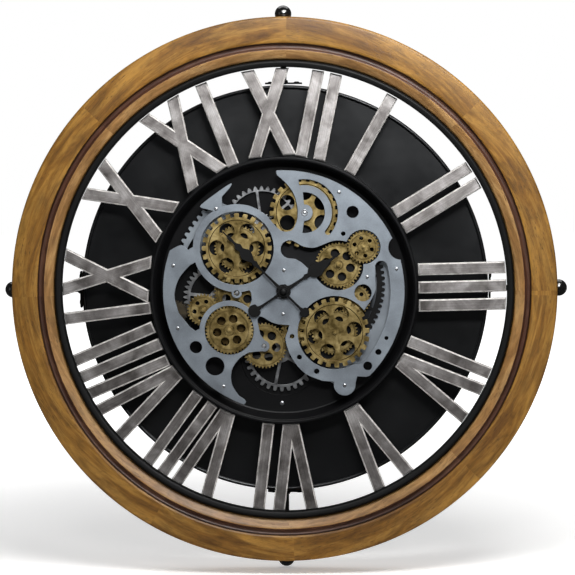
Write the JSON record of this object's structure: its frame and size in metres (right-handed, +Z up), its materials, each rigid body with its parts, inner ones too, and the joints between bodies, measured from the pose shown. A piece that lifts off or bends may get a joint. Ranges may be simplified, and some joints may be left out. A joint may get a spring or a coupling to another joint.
{
  "type": "skeleton wall clock with exposed moving gears",
  "caption": "Large round wall clock with a wooden ring, open Roman-numeral dial, exposed coupled gear train and quartz-driven hands.",
  "frame": {"origin": "on the wall plane behind the hub, at the middle of the hanger strap's rear face", "axes": "+Y into the wall, so the dial faces -Y; +X right and +Z up as seen from the front"},
  "size_m": [0.6282, 0.0771, 0.6282],
  "materials": {
    "mango_wood": "oiled and sealed, open grain",
    "black_steel": "satin black paint",
    "pewter": "brushed, antiqued pewter tone",
    "satin_silver": "satin silver-grey paint",
    "antique_brass": "antiqued, lightly mottled",
    "grey_steel": "plain grey plated steel",
    "black_plastic": "matt moulded black",
    "gloss_black": "gloss black enamel"
  },
  "bodies": {
    "clock_body": {"back_drum": "black_steel", "dial_hoop": "black_steel", "drive_battery": "grey_steel", "drive_box": "black_plastic", "finial_bottom": "gloss_black", "finial_left": "gloss_black", "finial_right": "gloss_black", "finial_top": "gloss_black", "front_plate": "satin_silver", "gear_dish": "black_steel", "hanger_strap": "grey_steel", "mid_plate": "satin_silver", "movement_battery": "grey_steel", "movement_case": "black_plastic", "numeral_01": "pewter", "numeral_02": "pewter", "numeral_03": "pewter", "numeral_04": "pewter", "numeral_05": "pewter", "numeral_06": "pewter", "numeral_07": "pewter", "numeral_08": "pewter", "numeral_09": "pewter", "numeral_10": "pewter", "numeral_11": "pewter", "numeral_12": "pewter", "pillar_1": "grey_steel", "pillar_2": "grey_steel", "pillar_3": "grey_steel", "pillar_4": "grey_steel", "pillar_5": "grey_steel", "support_rod_bottom": "black_steel", "support_rod_left": "black_steel", "support_rod_right": "black_steel", "support_rod_top": "black_steel", "toothed_sector": "black_steel", "wood_ring": "mango_wood"},
    "lower_right_gear": {"lower_right_wheel": "antique_brass", "lower_right_arbor": "antique_brass"},
    "idler_gear": {"idler_wheel": "antique_brass"},
    "bottom_gear": {"bottom_wheel": "antique_brass"},
    "lower_left_gear": {"lower_left_wheel": "antique_brass"},
    "centre_left_gear": {"centre_left_wheel": "antique_brass"},
    "upper_left_gear": {"upper_left_wheel": "antique_brass", "upper_left_arbor": "antique_brass"},
    "left_small_gear": {"left_small_wheel": "antique_brass"},
    "drive_shaft": {"drive_shaft": "antique_brass"},
    "silver_left_gear": {"silver_left_wheel": "grey_steel"},
    "right_small_gear": {"right_small_wheel": "antique_brass"},
    "upper_right_gear": {"upper_right_wheel": "antique_brass"},
    "right_front_gear": {"right_front_wheel": "antique_brass"},
    "silver_top_gear": {"silver_top_wheel": "grey_steel"},
    "top_gear": {"top_wheel": "antique_brass"},
    "silver_bottom_gear": {"silver_bottom_wheel": "grey_steel"},
    "minute_hand_body": {"minute_hand": "black_steel", "hand_cap": "black_steel"},
    "hour_hand_body": {"hour_hand": "black_steel"},
    "set_knob_body": {"set_knob": "black_plastic"},
    "switch_body": {"drive_switch": "black_plastic"}
  },
  "joints": [
    {"name": "lower_right_spin", "type": "hinge", "parent": "clock_body", "child": "lower_right_gear", "pos_m": [0.05591, -0.061, -0.04591], "axis": [0, 1, 0], "continuous": true},
    {"name": "idler_spin", "type": "hinge", "parent": "clock_body", "child": "idler_gear", "pos_m": [0.01438, -0.061, -0.03948], "axis": [0, 1, 0], "continuous": true},
    {"name": "bottom_spin", "type": "hinge", "parent": "clock_body", "child": "bottom_gear", "pos_m": [-0.02201, -0.061, -0.0605], "axis": [0, 1, 0], "continuous": true},
    {"name": "lower_left_spin", "type": "hinge", "parent": "clock_body", "child": "lower_left_gear", "pos_m": [-0.06019, -0.061, -0.04294], "axis": [0, 1, 0], "continuous": true},
    {"name": "centre_left_spin", "type": "hinge", "parent": "clock_body", "child": "centre_left_gear", "pos_m": [-0.0516, -0.061, -0.0018], "axis": [0, 1, 0], "continuous": true},
    {"name": "upper_left_spin", "type": "hinge", "parent": "clock_body", "child": "upper_left_gear", "pos_m": [-0.05108, -0.061, 0.04764], "axis": [0, 1, 0], "continuous": true},
    {"name": "left_small_spin", "type": "hinge", "parent": "clock_body", "child": "left_small_gear", "pos_m": [-0.08908, -0.061, -0.02081], "axis": [0, 1, 0], "continuous": true},
    {"name": "drive_shaft_spin", "type": "hinge", "parent": "clock_body", "child": "drive_shaft", "pos_m": [-0.11803, -0.061, -0.02309], "axis": [0, 1, 0], "continuous": true},
    {"name": "silver_left_spin", "type": "hinge", "parent": "clock_body", "child": "silver_left_gear", "pos_m": [-0.0733, -0.061, -0.00725], "axis": [0, 1, 0], "continuous": true},
    {"name": "right_small_spin", "type": "hinge", "parent": "clock_body", "child": "right_small_gear", "pos_m": [0.07768, -0.061, -0.00997], "axis": [0, 1, 0], "continuous": true},
    {"name": "upper_right_spin", "type": "hinge", "parent": "clock_body", "child": "upper_right_gear", "pos_m": [0.06039, -0.061, 0.02833], "axis": [0, 1, 0], "continuous": true},
    {"name": "right_front_spin", "type": "hinge", "parent": "clock_body", "child": "right_front_gear", "pos_m": [0.08774, -0.061, 0.0485], "axis": [0, 1, 0], "continuous": true},
    {"name": "silver_top_spin", "type": "hinge", "parent": "clock_body", "child": "silver_top_gear", "pos_m": [-0.02419, -0.061, 0.07316], "axis": [0, 1, 0], "continuous": true},
    {"name": "top_spin", "type": "hinge", "parent": "clock_body", "child": "top_gear", "pos_m": [0.02351, -0.061, 0.08639], "axis": [0, 1, 0], "continuous": true},
    {"name": "silver_bottom_spin", "type": "hinge", "parent": "clock_body", "child": "silver_bottom_gear", "pos_m": [-0.00312, -0.061, -0.07121], "axis": [0, 1, 0], "continuous": true},
    {"name": "minute_hand_turn", "type": "hinge", "parent": "clock_body", "child": "minute_hand_body", "pos_m": [0, -0.0726, 0], "axis": [0, 1, 0], "continuous": true},
    {"name": "hour_hand_turn", "type": "hinge", "parent": "clock_body", "child": "hour_hand_body", "pos_m": [0, -0.0708, 0], "axis": [0, 1, 0], "continuous": true},
    {"name": "set_knob_turn", "type": "hinge", "parent": "clock_body", "child": "set_knob_body", "pos_m": [-0.017, -0.0265, -0.014], "axis": [0, 1, 0], "continuous": true},
    {"name": "drive_switch_slide", "type": "slide", "parent": "clock_body", "child": "switch_body", "axis": [1, 0, 0], "range_m": [0, 0.004]}
  ],
  "couplings": [
    {"joint": "idler_spin", "follows": "lower_right_spin", "ratio": -1.4286},
    {"joint": "bottom_spin", "follows": "lower_right_spin", "ratio": 1},
    {"joint": "lower_left_spin", "follows": "lower_right_spin", "ratio": -1.4286},
    {"joint": "centre_left_spin", "follows": "lower_right_spin", "ratio": 1},
    {"joint": "upper_left_spin", "follows": "lower_right_spin", "ratio": -1},
    {"joint": "left_small_spin", "follows": "lower_right_spin", "ratio": -1.4286},
    {"joint": "drive_shaft_spin", "follows": "lower_right_spin", "ratio": 2.1053},
    {"joint": "silver_left_spin", "follows": "lower_right_spin", "ratio": -0.63158},
    {"joint": "right_small_spin", "follows": "lower_right_spin", "ratio": -1.4286},
    {"joint": "upper_right_spin", "follows": "lower_right_spin", "ratio": 1},
    {"joint": "right_front_spin", "follows": "lower_right_spin", "ratio": -2.6667},
    {"joint": "silver_top_spin", "follows": "lower_right_spin", "ratio": 2},
    {"joint": "top_spin", "follows": "lower_right_spin", "ratio": -9},
    {"joint": "silver_bottom_spin", "follows": "lower_right_spin", "ratio": -0.625},
    {"joint": "hour_hand_turn", "follows": "minute_hand_turn", "ratio": 0.083333},
    {"joint": "set_knob_turn", "follows": "minute_hand_turn", "ratio": -1}
  ]
}
